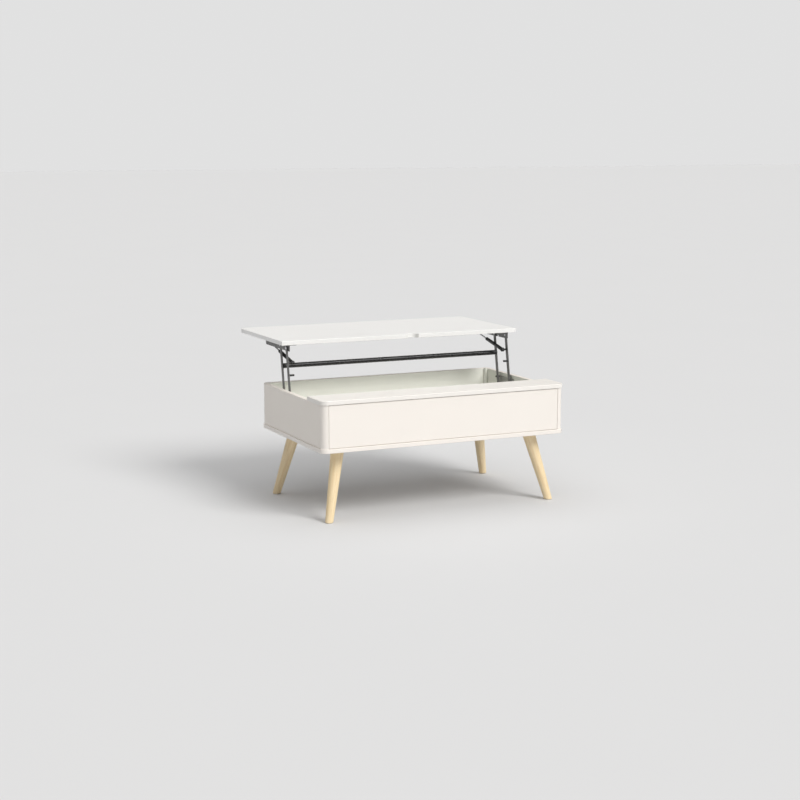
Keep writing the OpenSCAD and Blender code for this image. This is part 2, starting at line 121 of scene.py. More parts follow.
class Finish(Nodes):
    """A material in the making. Its patterns are placed in metres, in the piece's own frame, or by
    the places stored on the piece under the name of stored."""

    def __init__(self, name, stored=None):
        self.material = bpy.data.materials.new(name)
        self.material.use_nodes = True
        super().__init__(self.material.node_tree)
        self.shader = self.tree.nodes["Principled BSDF"]
        self.stored = stored

    def own_place(self, stretch=(1.0, 1.0, 1.0)):
        if self.stored:
            own = self.node("ShaderNodeAttribute", {"attribute_name": self.stored}, output="Vector")
        else:
            own = self.node("ShaderNodeTexCoord", output="Object")
        return self.node("ShaderNodeVectorMath", {"operation": "MULTIPLY"}, {0: own, 1: stretch})

    def patches(self, size, detail=2.0, stretch=(1.0, 1.0, 1.0)):
        """Soft patches about as wide as size, from 0 to 1."""
        sockets = {"Vector": self.own_place(stretch), "Scale": 1 / size, "Detail": detail}
        return self.node("ShaderNodeTexNoise", sockets=sockets)

    def in_box(self, low, high):
        """1 between two corners of a box in the piece's own frame, 0 outside."""
        limit = 0.0002
        share = 1.0
        for axis, start, end in zip("XYZ", low, high):
            own = self.node("ShaderNodeTexCoord", output="Object")
            place = self.node("ShaderNodeSeparateXYZ", sockets={"Vector": own}, output=axis)
            past_start = self.between(place, start - limit, start)
            share = share * past_start * (1 - self.between(place, end, end + limit))
        return share

    def soft_edge(self):
        """1 on the rounded rims of a piece, 0 on its faces."""
        return self.node("ShaderNodeAttribute", {"attribute_name": "soft_edge"}, output="Fac")

    def bump(self, height, depth):
        """Relief of about depth metres where height goes from 0 to 1."""
        sockets = {"Strength": 1.0, "Distance": depth, "Height": height}
        return self.node("ShaderNodeBump", sockets=sockets)

    def done(self, **sockets):
        """Sets the shader's sockets, whose names are written with _ for a space."""
        self.plug(self.shader, {name.replace("_", " "): value for name, value in sockets.items()})
        return self.material


def cavity():
    """The corners of the space inside the cabinet."""
    low = (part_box("left_side_panel")[1].x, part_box("front_panel")[1].y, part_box("bottom_board")[1].z)
    high = (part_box("right_side_panel")[0].x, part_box("back_panel")[0].y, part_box("back_panel")[1].z)
    return low, high


def lacquer(name, colour, inside_painted_light=None):
    """Satin lacquer on fibreboard: faint orange peel, thinner on the rims. Inside the cabinet it takes a
    painted tint that stands in for shade and bounced light.
    """
    finish = Finish(name)
    shade = tuple(value * 0.965 for value in colour)
    primer = (colour[0] * 0.93, colour[1] * 0.915, colour[2] * 0.88)
    rubbed = finish.soft_edge() * finish.between(finish.patches(0.05, 4.0), 0.42, 0.68)
    tint = finish.mix(finish.patches(0.30, 3.0), colour, shade)
    tint = finish.mix(rubbed * 0.5, tint, primer)
    # Painted light: the faces inside the cabinet take their own tint, standing in for the shade and
    # bounced light in there.
    if inside_painted_light:
        tint = finish.mix(finish.in_box(*cavity()), tint, inside_painted_light)
    peel = finish.patches(0.0022, 1.0)
    sag = finish.patches(0.045, 1.0)
    return finish.done(
        Base_Color=tint,
        Roughness=0.36 + 0.12 * finish.patches(0.09, 4.0) + 0.06 * rubbed,
        Normal=finish.bump(peel + 6.0 * sag, 0.00002),
        Coat_Weight=0.1,
        Coat_Roughness=0.3,
    )


def timber(name, pale, dark, roughness, pore_depth, stored=None):
    """Straight-grained wood whose grain runs along Z."""
    finish = Finish(name, stored)
    along = 0.045
    bands = finish.patches(0.0065, 2.0, (1.0, 1.0, along))
    streaks = finish.patches(0.0016, 3.0, (1.0, 1.0, along))
    flecks = finish.between(finish.patches(0.0011, 2.0, (1.0, 1.0, 0.16)), 0.60, 0.72)
    broad = finish.patches(0.03, 2.0, (1.0, 1.0, 0.3))
    tint = finish.mix(finish.between(bands, 0.35, 0.68), pale, dark)
    tint = finish.mix(streaks * 0.35, tint, tuple(value * 0.86 for value in dark))
    tint = finish.mix(flecks * 0.40, tint, tuple(value * 0.62 for value in dark))
    tint = finish.mix(broad * 0.25, tint, (pale[0], pale[1] * 0.96, pale[2] * 0.88))
    return finish.done(
        Base_Color=tint,
        Roughness=roughness + 0.12 * streaks + 0.08 * flecks,
        Normal=finish.bump(streaks * 0.5 - flecks, pore_depth),
    )


def coated_steel(name, colour, bare, roughness):
    """Baked coating with a fine grain, worn towards the metal on the rims."""
    finish = Finish(name)
    worn = finish.soft_edge() * finish.between(finish.patches(0.012, 4.0), 0.40, 0.62)
    grain = finish.patches(0.0009, 2.0)
    tint = finish.mix(finish.patches(0.03, 3.0), colour, tuple(value * 0.8 for value in colour))
    tint = finish.mix(worn * 0.55, tint, bare)
    return finish.done(
        Base_Color=tint,
        Metallic=0.25 + 0.5 * worn,
        Roughness=roughness + 0.12 * finish.patches(0.015, 3.0) - 0.08 * worn,
        Normal=finish.bump(grain, 0.00003),
    )


def plated_steel(name, colour, roughness):
    """Zinc or chrome plate, cloudy, with turning marks about the piece's axis."""
    finish = Finish(name)
    clouds = finish.patches(0.006, 3.0)
    marks = finish.patches(0.0007, 1.0)
    tint = finish.mix(clouds, colour, (colour[0] * 0.78, colour[1] * 0.78, colour[2] * 0.80))
    return finish.done(
        Base_Color=tint,
        Metallic=1.0,
        Roughness=roughness + 0.14 * clouds,
        Normal=finish.bump(marks, 0.000008),
    )


def moulded_rubber():
    finish = Finish("moulded_rubber")
    dust = finish.between(finish.patches(0.004, 4.0), 0.45, 0.75)
    return finish.done(
        Base_Color=finish.mix(dust * 0.4, (0.022, 0.022, 0.023), (0.07, 0.068, 0.064)),
        Roughness=0.62 + 0.2 * finish.patches(0.003, 2.0),
        Normal=finish.bump(finish.patches(0.0006, 2.0), 0.00003),
    )


def pressed_felt():
    """Wool felt: short fibres lying in all directions."""
    finish = Finish("pressed_felt")
    across = finish.patches(0.0005, 4.0, (1.0, 0.35, 1.0))
    along = finish.patches(0.0005, 4.0, (0.35, 1.0, 1.0))
    fibres = across * along
    lumps = finish.patches(0.003, 3.0)
    tint = finish.mix(fibres * 1.6, (0.50, 0.46, 0.39), (0.76, 0.72, 0.64))
    return finish.done(
        Base_Color=finish.mix(lumps * 0.3, tint, (0.56, 0.51, 0.42)),
        Roughness=0.9,
        Normal=finish.bump(fibres + lumps, 0.0003),
        Sheen_Weight=0.4,
        Sheen_Roughness=0.5,
    )


def studio_floor():
    finish = Finish("studio_floor")
    pale = (0.662, 0.669, 0.680)
    dull = (0.652, 0.659, 0.670)
    return finish.done(Base_Color=finish.mix(finish.patches(0.8, 2.0), pale, dull), Roughness=0.85)


# Painted light: the second colour of the case and side lacquers goes on the faces inside the cabinet. It
# is lighter and greener on the case for bounced light, and darker on the sides for painted shade.
CASE_LACQUER = lacquer("case_lacquer", (0.885, 0.84, 0.79), (0.92, 0.925, 0.865))
# Painted shade: the side lacquer is a darker copy of the case lacquer, for the side panel turned away
# from the key.
SIDE_LACQUER_PAINTED_SHADE = lacquer("side_lacquer_painted_shade", (0.882, 0.832, 0.770), (0.72, 0.725, 0.66))
STRIP_LACQUER = lacquer("strip_lacquer", (0.865, 0.84, 0.80))
TOP_LACQUER = lacquer("top_lacquer", (0.885, 0.885, 0.875))
LEG_BEECH = timber("leg_beech", (0.95, 0.80, 0.54), (0.84, 0.645, 0.38), 0.38, 0.00006, "grain_place")
DOWEL_BEECH = timber("dowel_beech", (0.80, 0.64, 0.42), (0.68, 0.50, 0.30), 0.66, 0.00012)
GREY_STEEL = coated_steel("grey_steel_coat", (0.15, 0.148, 0.147), (0.42, 0.42, 0.43), 0.34)
PLATE_STEEL = coated_steel("plate_steel_coat", (0.40, 0.40, 0.37), (0.55, 0.55, 0.55), 0.40)
BAR_STEEL = coated_steel("crossbar_coat", (0.022, 0.022, 0.024), (0.20, 0.20, 0.20), 0.22)
BLACK_STEEL = coated_steel("black_steel_coat", (0.014, 0.014, 0.015), (0.20, 0.20, 0.20), 0.30)
ZINC_PLATE = plated_steel("zinc_plate", (0.62, 0.62, 0.64), 0.30)
ROD_CHROME = plated_steel("rod_chrome", (0.55, 0.55, 0.57), 0.12)
RUBBER = moulded_rubber()
FELT = pressed_felt()


# ---------- Shapes ----------


def place_of(origin, across, up):
    """A frame at origin whose X runs along across and whose Y runs along up."""
    x = Vector(across).normalized()
    y = Vector(up).normalized()
    place = Matrix((x, y, x.cross(y))).transposed().to_4x4()
    place.translation = origin
    return place


def level(z):
    """For an outline in X and Y, thickened upwards from z."""
    return Matrix.Translation((0, 0, z))


def facing_front(y):
    """For an outline in X and Z, thickened towards -Y from y."""
    return place_of((0, y, 0), (1, 0, 0), (0, 0, 1))


def facing_right(x):
    """For an outline in Y and Z, thickened towards +X from x."""
    return place_of((x, 0, 0), (0, 1, 0), (0, 0, 1))


def along_x(x, y, z):
    """For a turned part whose axis runs along +X from that point."""
    return place_of((x, y, z), (0, 1, 0), (0, 0, 1))


def box_corners(x0, y0, x1, y1, *radii):
    """A rectangle's corners, counter-clockwise from (x0, y0), with one radius or four."""
    r = radii if len(radii) == 4 else radii * 4
    return [(x0, y0, r[0]), (x1, y0, r[1]), (x1, y1, r[2]), (x0, y1, r[3])]


def circle_corners(x, y, radius, steps=28):
    turns = [math.tau * i / steps for i in range(steps)]
    return [(x + radius * math.cos(a), y + radius * math.sin(a), 0) for a in turns]


def hole(x, y, radius):
    """A round hole's outline. Holes run clockwise."""
    return circle_corners(x, y, radius)[::-1]


def cross_hole(x, y, reach, half):
    """The drive of a cross-head screw, clockwise."""
    quarter = [(-half, reach), (half, reach), (half, half)]
    corners = []
    for turn in range(4):
        angle = -math.pi / 2 * turn
        c, s = math.cos(angle), math.sin(angle)
        corners += [(x + c * px - s * py, y + s * px + c * py, 0) for px, py in quarter]
    return corners


def outline(corners, inset):
    """Points round an outline of (x, y, radius) corners, drawn in towards its left by inset."""
    points = []
    for i, (x, y, radius) in enumerate(corners):
        here = Vector((x, y))
        before = (here - Vector(corners[i - 1][:2])).normalized()
        after = (Vector(corners[(i + 1) % len(corners)][:2]) - here).normalized()
        left_before = Vector((-before.y, before.x))
        left_after = Vector((-after.y, after.x))
        mitre = (left_before + left_after) / (1 + left_before.dot(left_after))
        corner = here + inset * mitre
        if radius == 0:
            points.append(corner)
            continue
        turn = 1 if before.x * after.y - before.y * after.x > 0 else -1
        bend = max(radius - turn * inset, 0)
        centre = corner + turn * bend * mitre
        start = math.atan2(-turn * left_before.y, -turn * left_before.x)
        sweep = left_before.angle_signed(left_after)
        for step in range(ARC_STEPS + 1):
            angle = start - sweep * step / ARC_STEPS
            points.append(centre + bend * Vector((math.cos(angle), math.sin(angle))))
    return points


class Shape:
    """A mesh put together from plates and turned parts. Its rounded rims are marked soft_edge."""

    def __init__(self):
        self.mesh = bmesh.new()
        self.rim = self.mesh.verts.layers.float.new("soft_edge")

    def ring(self, points, rim=0.0):
        made = [self.mesh.verts.new(point) for point in points]
        for vertex in made:
            vertex[self.rim] = rim
        return made

    def skin(self, rings):
        """Joins each ring to the next with a band of faces."""
        for lower, upper in zip(rings, rings[1:]):
            for i in range(len(lower)):
                self.mesh.faces.new((lower[i - 1], lower[i], upper[i], upper[i - 1]))

    def cap(self, rings):
        """Closes an outline, less its holes."""
        if len(rings) == 1:
            self.mesh.faces.new(rings[0])
            return
        edges = []
        for ring in rings:
            edges += [self.mesh.edges.get((ring[i - 1], ring[i])) for i in range(len(ring))]
        bmesh.ops.triangle_fill(self.mesh, edges=edges, use_beauty=True)

    def plate(self, corners, thickness, soft, place, holes=()):
        """A flat part, thick along place's Z, whose rims are rounded by soft."""
        turns = [math.pi / 2 * i / RIM_STEPS for i in range(RIM_STEPS + 1)]
        lower = [(soft * (1 - math.sin(a)), soft * (1 - math.cos(a)), math.sin(2 * a)) for a in turns]
        upper = [(inset, thickness - z, rim) for inset, z, rim in reversed(lower)]
        ends = [[], []]
        for loop in [corners, *holes]:
            rings = []
            for inset, z, rim in lower + upper:
                rings.append(self.ring([place @ Vector((*p, z)) for p in outline(loop, inset)], rim))
            self.skin(rings)
            ends[0].append(rings[0])
            ends[1].append(rings[-1])
        for rings in ends:
            self.cap(rings)

    def turned(self, profile, place, steps=36, hollow=False):
        """A part turned about place's Z axis from (radius, height) points. A hollow one is a ring."""
        rings = []
        for radius, height in profile:
            turns = [math.tau * i / steps for i in range(steps)]
            rings.append(self.ring([
                place @ Vector((radius * math.cos(a), radius * math.sin(a), height)) for a in turns
            ]))
        if hollow:
            self.skin([*rings, rings[0]])
            return
        self.skin(rings)
        self.cap([rings[0]])
        self.cap([rings[-1]])

    def finished(self, name, crease=38):
        """The mesh as an object, with smooth rims and flat faces."""
        bmesh.ops.remove_doubles(self.mesh, verts=self.mesh.verts, dist=0.000001)
        bmesh.ops.dissolve_degenerate(self.mesh, edges=self.mesh.edges, dist=0.0000005)
        bmesh.ops.recalc_face_normals(self.mesh, faces=self.mesh.faces)
        if self.mesh.calc_volume(signed=True) < 0:
            bmesh.ops.reverse_faces(self.mesh, faces=self.mesh.faces)
        mesh = bpy.data.meshes.new(name)
        self.mesh.to_mesh(mesh)
        self.mesh.free()
        mesh.polygons.foreach_set("use_smooth", [True] * len(mesh.polygons))
        mesh.set_sharp_from_angle(angle=math.radians(crease))
        made = bpy.data.objects.new(name, mesh)
        bpy.context.scene.collection.objects.link(made)
        normals = made.modifiers.new("flat_faces", "WEIGHTED_NORMAL")
        normals.keep_sharp = True
        return made


def fit(piece, body, slot, finish, *nodes):
    """Gives a piece its finish, its body and the nodes that it stands for."""
    piece.data.materials.clear()
    piece.data.materials.append(finish)
    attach(piece, body)
    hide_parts(*nodes)


def domed(radius, height, crown):
    """The profile of a rivet head: a short rim, then a low dome up to height."""
    rim = height - crown
    turns = [math.pi / 2 * i / 5 for i in range(6)]
    dome = [(radius * math.cos(a) ** 0.8, rim + crown * math.sin(a)) for a in turns[:-1]]
    return [(radius - 0.25 * MM, 0), (radius, 0.25 * MM), *dome, (0.15 * radius, height)]


def rod(radius, length, chamfer):
    """The profile of a plain pin with chamfered ends."""
    end = radius - chamfer
    return [(end, 0), (radius, chamfer), (radius, length - chamfer), (end, length)]


def screw(shape, place, head_r, head_t, shank_r, length, sunk=False):
    """A cross-head screw whose Z points out of its head, from the face that it is driven into."""
    slot_depth = 0.9 * MM
    top = 0 if sunk else head_t
    drive = [cross_hole(0, 0, 0.52 * head_r, 0.17 * head_r)]
    disc = circle_corners(0, 0, head_r)
    shape.plate(disc, slot_depth, 0.3 * MM, place @ level(top - slot_depth), drive)
    if sunk:
        shape.turned([(shank_r, -head_t), (head_r - 0.1 * MM, -slot_depth + 0.05 * MM)], place)
        shape.turned(rod(shank_r, length - head_t, 0.6 * MM), place @ level(-length))
    else:
        shape.turned([(head_r, 0), (head_r, head_t - slot_depth + 0.05 * MM)], place)
        shape.turned(rod(shank_r, length, 0.6 * MM), place @ level(-length))


# ---------- Cabinet ----------

POST_R = 25 * MM
EDGE = 1.3 * MM
PANEL_EDGE = 2.2 * MM
SEAM = 0.8 * MM
BOARD_EDGE = 2.0 * MM
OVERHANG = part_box("left_side_panel")[0].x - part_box("bottom_board")[0].x
BOARD_R = POST_R + OVERHANG


def board(node, finish, *radii):
    """A level board with rounded corners."""
    low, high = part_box(node)
    shape = Shape()
    corners = box_corners(low.x, low.y, high.x, high.y, *radii)
    shape.plate(corners, high.z - low.z, BOARD_EDGE, level(low.z))
    fit(shape.finished("painted_" + node), "cabinet", "white_lacquer", finish, node)


def end_panel(node):
    """A panel that leaves a fine seam along both posts and its foot."""
    low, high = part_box(node)
    shape = Shape()
    corners = box_corners(low.x + SEAM, low.z + SEAM, high.x - SEAM, high.z, EDGE)
    shape.plate(corners, high.y - low.y, PANEL_EDGE, facing_front(high.y))
    fit(shape.finished("painted_" + node), "cabinet", "white_lacquer", CASE_LACQUER, node)


def side_panel(node):
    low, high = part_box(node)
    shape = Shape()
    corners = box_corners(low.y, low.z, high.y, high.z, EDGE)
    shape.plate(corners, high.x - low.x, EDGE, facing_right(low.x))
    # Painted shade: the side panels take the darker side lacquer.
    fit(shape.finished("painted_" + node), "cabinet", "white_lacquer", SIDE_LACQUER_PAINTED_SHADE, node)


def corner_post(end, side):
    """A quarter-round post whose lip stands behind both panels."""
    node = f"{end}_{side}_post"
    low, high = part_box(node)
    x = max(abs(low.x), abs(high.x))
    y = max(abs(low.y), abs(high.y))
    lip_x = min(abs(low.x), abs(high.x))
    lip_y = min(abs(low.y), abs(high.y))
    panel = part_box("left_side_panel")
    inside_painted_light = panel[1].x - panel[0].x
    corners = [
        (lip_x, lip_y, 1 * MM),
        (x - inside_painted_light, lip_y, 0.5 * MM),
        (x - inside_painted_light, y - POST_R, 0),
        (x, y - POST_R, EDGE),
        (x, y, POST_R - EDGE),
        (x - POST_R, y, EDGE),
        (x - POST_R, y - inside_painted_light, 0),
        (lip_x, y - inside_painted_light, 0.3 * MM),
    ]
    sx, sy = SIDES[side], ENDS[end]
    corners = [(sx * px, sy * py, r) for px, py, r in corners]
    if sx * sy < 0:
        corners.reverse()
    shape = Shape()
    shape.plate(corners, high.z - low.z, 0.25 * MM, level(low.z))
    fit(shape.finished("painted_" + node), "cabinet", "white_lacquer", CASE_LACQUER, node)


def carcass_screws():
    """Countersunk screws up through the bottom board, under the panels and the posts."""
    low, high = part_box("carcass_screws")
    head_r = 4.5 * MM
    x, y = high.x - head_r, high.y - head_r
    corner = 5 * MM
    width = 2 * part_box("right_side_panel")[1].x
    depth = 2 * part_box("back_panel")[1].y
    shape = Shape()
    places = [(s * 0.36 * width, e * y) for s in (-1, 0, 1) for e in (-1, 1)]
    places += [(s * x, e * 0.3 * depth) for s in (-1, 1) for e in (-1, 0, 1)]
    places += [(s * (x - corner), e * (y - corner)) for s in (-1, 1) for e in (-1, 1)]
    for px, py in places:
        under = place_of((px, py, low.z), (1, 0, 0), (0, -1, 0))
        screw(shape, under, head_r, 3 * MM, 2.5 * MM, high.z - low.z, sunk=True)
    fit(shape.finished("case_screws"), "cabinet", "zinc_steel", ZINC_PLATE, "carcass_screws")


def cabinet():
    board("bottom_board", CASE_LACQUER, BOARD_R)
    board("front_top_strip", STRIP_LACQUER, BOARD_R, BOARD_R, EDGE, EDGE)
    end_panel("front_panel")
    end_panel("back_panel")
    for side in SIDES:
        side_panel(f"{side}_side_panel")
        for end in ENDS:
            corner_post(end, side)
    carcass_screws()


# ---------- Legs ----------

PAD_R = 13 * MM
LEG_TOP_R = 25 * MM
LEG_FOOT_R = 15 * MM
LEG_SPLAY = Vector((61 * MM, 60 * MM, 0))
LEG_STEPS = 56


def leg(end, side):
    """A tapered round leg that leans out to its foot, cut level at both ends."""
    node = f"{end}_{side}_leg"
    low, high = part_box(node)
    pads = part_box("foot_pads")[1]
    corner = Vector((SIDES[side], ENDS[end], 1))
    foot = Vector((pads.x - PAD_R, pads.y - PAD_R, 0)) * corner
    top = foot - LEG_SPLAY * corner + Vector((0, 0, high.z))
    axis = top - foot
    place = axis.to_track_quat("Z", "X").to_matrix().to_4x4()
    place.translation = foot
    shape = Shape()
    cuts = [(0, 1.6, 0), (0.25, 0.9, 0.7), (0.9, 0.25, 1), (1.8, 0, 0)]
    levels = [(low.z + rise * MM, inset * MM, rim) for rise, inset, rim in cuts]
    levels += [(high.z - 0.6 * MM, 0, 0), (high.z, 0.5 * MM, 1)]
    rings = []
    for cut, inset, rim in levels:
        points = []
        for i in range(LEG_STEPS):
            angle = math.tau * i / LEG_STEPS
            ray = Vector((math.cos(angle), math.sin(angle), 0))
            start = (place @ (LEG_FOOT_R * ray)).z
            rise = (place @ (LEG_TOP_R * ray + Vector((0, 0, axis.length)))).z - start
            share = (cut - start) / rise
            radius = LEG_FOOT_R + (LEG_TOP_R - LEG_FOOT_R) * share - inset
            points.append(radius * ray + Vector((0, 0, axis.length * share)))
        rings.append(shape.ring([place @ point for point in points], rim))
    shape.skin(rings)
    shape.cap([rings[0]])
    shape.cap([rings[-1]])
    made = shape.finished("turned_" + node, crease=60)
    store_grain(made, place)
    fit(made, "cabinet", "beech", LEG_BEECH, node)


def store_grain(piece, place):
    """Stores where each point of a piece lies in the frame of the wood that it is turned from."""
    stored = piece.data.attributes.new("grain_place", "FLOAT_VECTOR", "POINT")
    to_wood = place.inverted()
    for item, vertex in zip(stored.data, piece.data.vertices):
        item.vector = to_wood @ vertex.co


def felt_pads():
    low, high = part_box("foot_pads")
    shape = Shape()
    for sx in SIDES.values():
        for sy in ENDS.values():
            disc = circle_corners(sx * (high.x - PAD_R), sy * (high.y - PAD_R), PAD_R, 40)
            shape.plate(disc, high.z - low.z, 0.7 * MM, level(low.z))
    fit(shape.finished("felt_pads"), "cabinet", "felt", FELT, "foot_pads")


def legs():
    for side in SIDES:
        for end in ENDS:
            leg(end, side)
    felt_pads()


# ---------- Lift mechanism ----------


def pivot(joint):
    """The (y, z) of a joint's axis."""
    return Vector(JOINTS[joint]["pos_m"][1:])


PIN_R = 4 * MM
HEAD_R = 6.5 * MM
HEAD_T = 2 * MM
HEAD_GAP = 0.2 * MM
PLAY = 0.05 * MM
PLAY_X = 0.5 * MM
SCREW_HEAD_R = 4 * MM
SCREW_R = 2 * MM
BRACKET_T = 2.5 * MM
BRACKET_SCREWS_BACK = (15 * MM, 108 * MM, 155 * MM)
ARM_W = 15 * MM
ARC_GAP = 0.01 * MM
REAR_BASE = pivot("lift")
REAR_TOP = pivot("top_level")
FRONT_BASE = pivot("left_front_arm_swing")
STRUT_LOW = pivot("left_spring_swing")
ARM = REAR_TOP - REAR_BASE
FRONT_TOP = FRONT_BASE + ARM
ARM_WAY = ARM.normalized()


def on_arm(point):
    """A point (y, z) near the front arm as (along, across), from its base pivot."""
    away = point - FRONT_BASE
    return away.dot(ARM_WAY), away.dot(Vector((-ARM_WAY.y, ARM_WAY.x)))


def node_middle(node):
    """The (y, z) of the middle of a node's box."""
    low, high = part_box(node)
    middle = (low + high) / 2
    return Vector((middle.y, middle.z))


def arm(node, base, body, holes):
    """A flat bar with round ends, from its base pivot to its top pivot."""
    low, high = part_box(node)
    way = Vector((0, ARM_WAY.x, ARM_WAY.y))
    place = place_of((low.x, *base), way, Vector((1, 0, 0)).cross(way))
    half = ARM_W / 2
    corners = box_corners(-half, -half, ARM.length + half, half, half - ARC_GAP)
    cuts = [hole(along, across, PIN_R + PLAY) for along, across in holes]
    shape = Shape()
    shape.plate(corners, high.x - low.x, 0.6 * MM, place, cuts)
    fit(shape.finished("coated_" + node), body, "grey_steel", GREY_STEEL, node)


def base_plate(side):
    """The plate on the side panel that carries both base pivots and the stop."""
    node = f"{side}_base_plate"
    low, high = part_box(node)
    shape = Shape()
    cuts = [hole(*point, PIN_R + PLAY) for point in (FRONT_BASE, REAR_BASE, node_middle("stop_pins"))]
    cuts += [hole(*point, SCREW_R + PLAY) for point in base_screw_places()]
    corners = box_corners(low.y, low.z, high.y, high.z, 8 * MM)
    shape.plate(corners, high.x - low.x, 0.5 * MM, facing_right(low.x), cuts)
    fit(shape.finished("coated_" + node), "cabinet", "grey_steel", PLATE_STEEL, node)


def base_screw_places():
    """The (y, z) of the screws in a base plate. Its fourth corner stays free for the stop."""
    low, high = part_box("left_base_plate")
    inset = 9 * MM
    return [
        (low.y + inset, low.z + inset),
        ((low.y + high.y) / 2, low.z + inset),
        (high.y - inset, low.z + inset),
        (low.y + inset, high.z - inset),
    ]


def inward(side, x, point):
    """A frame at (x, point) whose Z points to the middle of the table."""
    return place_of((SIDES[side] * x, *point), (0, -SIDES[side], 0), (0, 0, 1))


def outward(side, x, point):
    """A frame at (x, point) whose Z points away from the middle of the table."""
    return place_of((SIDES[side] * x, *point), (0, SIDES[side], 0), (0, 0, 1))


def inner_face(node):
    """How far a right-hand node's inner face is from the middle."""
    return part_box(node)[0].x


def outer_face(node):
    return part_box(node)[1].x


def base_hardware():
    """Screws, shouldered rivets and stops on the base plates."""
    plate_in = inner_face("right_base_plate")
    plate_out = outer_face("right_base_plate")
    screws = Shape()
    pins = Shape()
    stops = Shape()
    length = outer_face("base_plate_screws") - plate_in
    stop_in = inner_face("right_rear_arm") - PLAY_X
    for side in SIDES:
        for point in base_screw_places():
            place = inward(side, plate_in, point)
            screw(screws, place, SCREW_HEAD_R, 1.6 * MM, SCREW_R, length)
        for point, bar in ((FRONT_BASE, "right_front_arm"), (REAR_BASE, "right_rear_arm")):
            near, far = inner_face(bar), outer_face(bar)
            head = near - HEAD_GAP
            pins.turned(rod(PIN_R, plate_out - head, 0.2 * MM), outward(side, head, point))
            pins.turned(domed(HEAD_R, HEAD_T, 1.2 * MM), inward(side, head, point))
            bush = plate_in - far - HEAD_GAP
            pins.turned(rod(HEAD_R, bush, 0.2 * MM), outward(side, far + HEAD_GAP, point))
        stop = node_middle("stop_pins")
        stops.turned(rod(PIN_R, plate_out - stop_in, 0.6 * MM), outward(side, stop_in, stop))
    fit(screws.finished("base_screws"), "cabinet", "zinc_steel", ZINC_PLATE, "base_plate_screws")
    fit(pins.finished("base_rivets"), "cabinet", "zinc_steel", ZINC_PLATE, "base_pivot_pins")
    fit(stops.finished("arm_stops"), "cabinet", "black_steel", BLACK_STEEL, "stop_pins")


def crossbar():
    """A tube between the rear arms, with a weld bead at each end."""
    low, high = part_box("crossbar")
    centre = node_middle("crossbar")
    radius = (high.z - low.z) / 2
    wall = 1.5 * MM
    length = high.x - low.x
    shape = Shape()
    profile = [(radius - wall, 0), (radius, 0), (radius, length), (radius - wall, length)]
    shape.turned(profile, along_x(low.x, *centre), 48, hollow=True)
    for side in SIDES:
        weld_bead(shape, side, high.x, centre, radius)
    fit(shape.finished("welded_crossbar"), "rear_links", "grey_steel", BAR_STEEL, "crossbar")


def weld_bead(shape, side, x, centre, radius):
    """A rippled fillet round the end of the crossbar."""
    steps = 96
    ripples = 24
    size = 1.1 * MM
    rings = []
    for i in range(steps):
        angle = math.tau * i / steps
        ray = Vector((0, math.cos(angle), math.sin(angle)))
        bulge = size * (0.86 + 0.14 * math.cos(ripples * angle))
        root = Vector((SIDES[side] * x, *centre)) + ray * (radius - 0.2 * MM)
        inwards = Vector((-SIDES[side], 0, 0))
        section = [(0, 0), (0, 1), (0.45, 0.8), (0.85, 0.4), (1, 0)]
        rings.append(shape.ring([root + bulge * (inwards * a + ray * b) for a, b in section]))
    shape.skin([*rings, rings[0]])


def front_arm_pins():
    """On each front arm: the peg that meets the stop, and the gas spring's lower stud."""
    near, far = inner_face("right_front_arm"), outer_face("right_front_arm")
    peg_in = inner_face("right_arm_peg")
    peg_at = node_middle("left_arm_peg")
    stud_in = inner_face("right_strut_stud")
    reach = near - peg_in
    waist = reach - 0.5 * MM
    tip = [(2.2 * MM, 0), (3.0 * MM, 0.8 * MM), (3.9 * MM, 1.0 * MM), (PIN_R, 1.5 * MM)]
    root = [(PIN_R, waist - 0.3 * MM), (3.7 * MM, waist), (3 * MM, waist), (3 * MM, reach + 0.1 * MM)]
    for side in SIDES:
        body = f"{side}_front_link"
        peg = Shape()
        peg.turned(tip + root, outward(side, peg_in, peg_at))
        peg.turned(rod(PIN_R, far - near, 0.2 * MM), outward(side, near, peg_at))
        fit(peg.finished(f"{side}_peg"), body, "black_steel", BLACK_STEEL, f"{side}_arm_peg")
        stud = Shape()
        shank = stud_in + HEAD_T
        stud.turned(rod(PIN_R, far - shank, 0.2 * MM), outward(side, shank, STRUT_LOW))
        stud.turned(domed(HEAD_R, HEAD_T, 1.2 * MM), inward(side, shank, STRUT_LOW))
        fit(stud.finished(f"{side}_stud"), body, "black_steel", BLACK_STEEL, f"{side}_strut_stud")


# ---------- Gas springs ----------

SPRING_X = 454 * MM
TUBE_R = 7 * MM
ROD_R = 3 * MM
EYE_W = 10 * MM
STRUT_HIGH = node_middle("bracket_studs")
STRUT_LENGTH = (STRUT_HIGH - STRUT_LOW).length
TUBE_START = 7 * MM
TUBE_END = TUBE_START + 132 * MM


def spring_place(side):
    """At the lower eye, with Z along the spring and X across the table."""
    way = (STRUT_HIGH - STRUT_LOW).normalized()
    return place_of((SIDES[side] * SPRING_X, *STRUT_LOW), (1, 0, 0), (0, way.y, -way.x))


def eye(shape, place, height, radius, bore):
    """A flat-sided eye across the spring, with rounded rims."""
    across = place @ place_of((-EYE_W / 2, 0, height), (0, 1, 0), (0, 0, 1))
    cuts = [hole(0, 0, bore)] if bore else []
    shape.plate(circle_corners(0, 0, radius, 40), EYE_W, 0.8 * MM, across, cuts)


